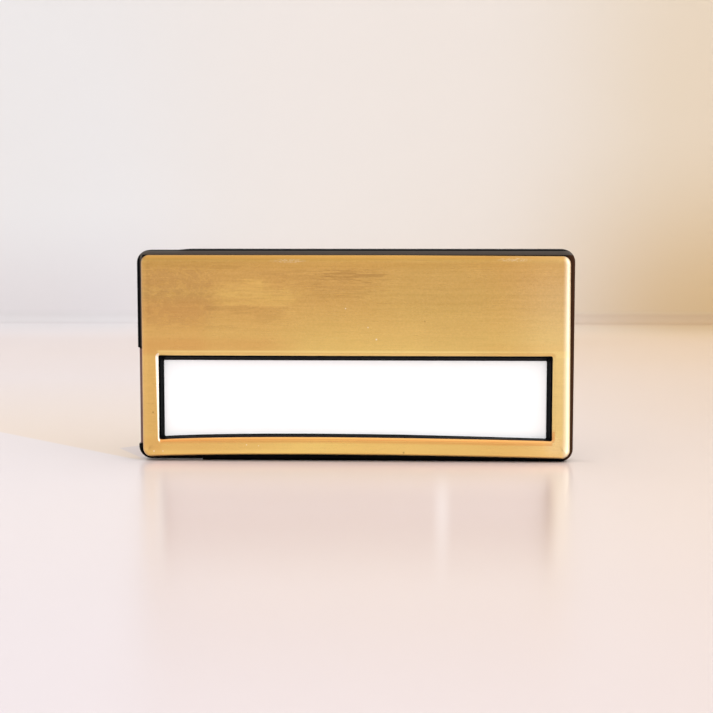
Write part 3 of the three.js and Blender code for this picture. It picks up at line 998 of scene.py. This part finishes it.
def stage_look():
    made = bpy.data.materials.new("backdrop")
    made.use_nodes = True
    shade = Shade(made.node_tree)
    place = shade.add("ShaderNodeTexCoord").outputs["Object"]
    axes = shade.parts(place)
    x, y, z = axes["x"], axes["y"], axes["z"]
    cloud = shade.spread(shade.noise(place, (6, 6, 6), 2, 0.5), 0.0, 0.1, smooth=True)
    across = axes["across"] = shade.plus(shade.span(x, -0.12, 0.18, 0.0, 0.9), cloud)
    axes["slant"] = shade.plus(x, y)
    for side, (per_x, per_y, start) in (("right", WEDGE_RIGHT), ("front", WEDGE_FRONT)):
        axes[side] = shade.plus(shade.times(x, per_x), shade.times(y, per_y), start)
    width = shade.calc("MAXIMUM", shade.span(y, PATCH_END, 0.0, 0.0, 1.0, False), PATCH_NARROWEST)
    axes["beside"] = shade.calc("DIVIDE", shade.calc("SUBTRACT", x, PATCH_MIDDLE), width)

    far = shade.span(y, -0.05, 0.3)
    table_left = shade.mix(far, TABLE_LEFT, TABLE_FAR_LEFT)
    table_right = shade.mix(far, TABLE_RIGHT, TABLE_FAR_RIGHT)
    table = shade.paint(shade.mix(across, table_left, table_right), axes, TABLE_LAYERS)
    # The wall is painted darker towards its foot, as painted shade.
    wall_left = shade.mix(shade.span(z, 0.05, 0.0), WALL_LEFT, WALL_LOW_LEFT)
    wall_right = shade.mix(shade.span(z, 0.08, 0.0), WALL_RIGHT, WALL_LOW_RIGHT)
    wall = shade.paint(shade.mix(across, wall_left, wall_right), axes, WALL_LAYERS)
    base = shade.mix(shade.span(y, 0.24, 0.325), table, wall)
    inputs = {
        "Base Color": shade.paint(base, axes, FOOT_LAYERS),
        "Roughness": shade.span(y, 0.05, 0.3, 0.276, 0.75),
        "Specular IOR Level": 0.6,
    }
    shade.output(shade.add("ShaderNodeBsdfPrincipled", inputs))
    return made


def build_stage():
    look = stage_look()
    square = np.array([(-1, -1), (1, -1), (1, 1), (-1, 1)]) * GROUND_HALF / MM
    ground = mesh_object("ground", [(x, y, -GROUND_DROP / MM) for x, y in square], [(0, 1, 2, 3)])
    profile = [(-SHEET_HALF, 0), (WALL_Y - 2 * COVE_RADIUS, 0)]
    for angle in np.linspace(0, math.pi / 2, COVE_STEPS + 1):
        back, up = COVE_RADIUS * math.sin(angle), COVE_RADIUS * (1 - math.cos(angle))
        profile.append((WALL_Y - COVE_RADIUS + back, up))
    profile.append((WALL_Y, WALL_TOP))
    points = [(side * SHEET_HALF / MM, y / MM, z / MM) for side in (-1, 1) for y, z in profile]
    count = len(profile)
    sheet = mesh_object("sheet", points, [(i, i + 1, count + i + 1, count + i) for i in range(count - 1)])
    for piece in (ground, sheet):
        piece.data.materials.append(look)


build_stage()


# Light: a soft bright surround with a broad window of light from the right. "angle" is in degrees, from
# straight behind the badge to the right, and "up" is the height of the direction.
OVERALL = ("up", 0.15, 0.55, 1.0, 0.9)
SKY_AREAS = (
    (1.0, OVERALL, ("angle", -16, 16, 0.86, 1.04)),
    (0.15, OVERALL, ("angle", -14, -32)),
    (0.3, OVERALL, ("angle", 14, 32)),
    (0.5, ("up", 0.55, 0.9)),
    (1.3, ("angle", 46, 70), ("angle", 106, 82), ("up", -0.1, 0.1), ("up", 0.9, 0.6)),
)
ABOVE_GROUND = (-0.05, 0.02, 1.0, 1.16)


def build_world():
    world = bpy.data.worlds.new("studio")
    bpy.context.scene.world = world
    world.use_nodes = True
    shade = Shade(world.node_tree)
    axes = shade.parts(shade.add("ShaderNodeTexCoord").outputs["Generated"])
    around = shade.calc("ARCTAN2", axes["x"], shade.times(axes["y"], -1.0))
    axes["angle"] = shade.times(around, 180 / math.pi)
    axes["up"] = axes["z"]
    strength = shade.plus(*(shade.area(axes, *row) for row in SKY_AREAS))
    strength = shade.times(strength, shade.span(axes["up"], *ABOVE_GROUND))
    background = shade.add("ShaderNodeBackground", {"Color": SKY, "Strength": strength})
    shade.add("ShaderNodeOutputWorld", {"Surface": background.outputs[0]})


build_world()


# Camera at the photo's place: a little above the badge's middle and to its right.
LENS = 77.5
NEAR_CLIP = 0.01
CAMERA_PLACE = (8.7, -268.63, 43.4)
CAMERA_DIP = 5.38
CAMERA_TURN = 1.82
camera_data = bpy.data.cameras.new("camera")
camera_data.lens = LENS
camera_data.clip_start = NEAR_CLIP
camera = bpy.data.objects.new("camera", camera_data)
camera.location = [place * MM for place in CAMERA_PLACE]
camera.rotation_euler = (math.radians(90 - CAMERA_DIP), 0, math.radians(CAMERA_TURN))
bpy.context.scene.collection.objects.link(camera)
bpy.context.scene.camera = camera
bpy.context.scene.view_settings.view_transform = "Standard"
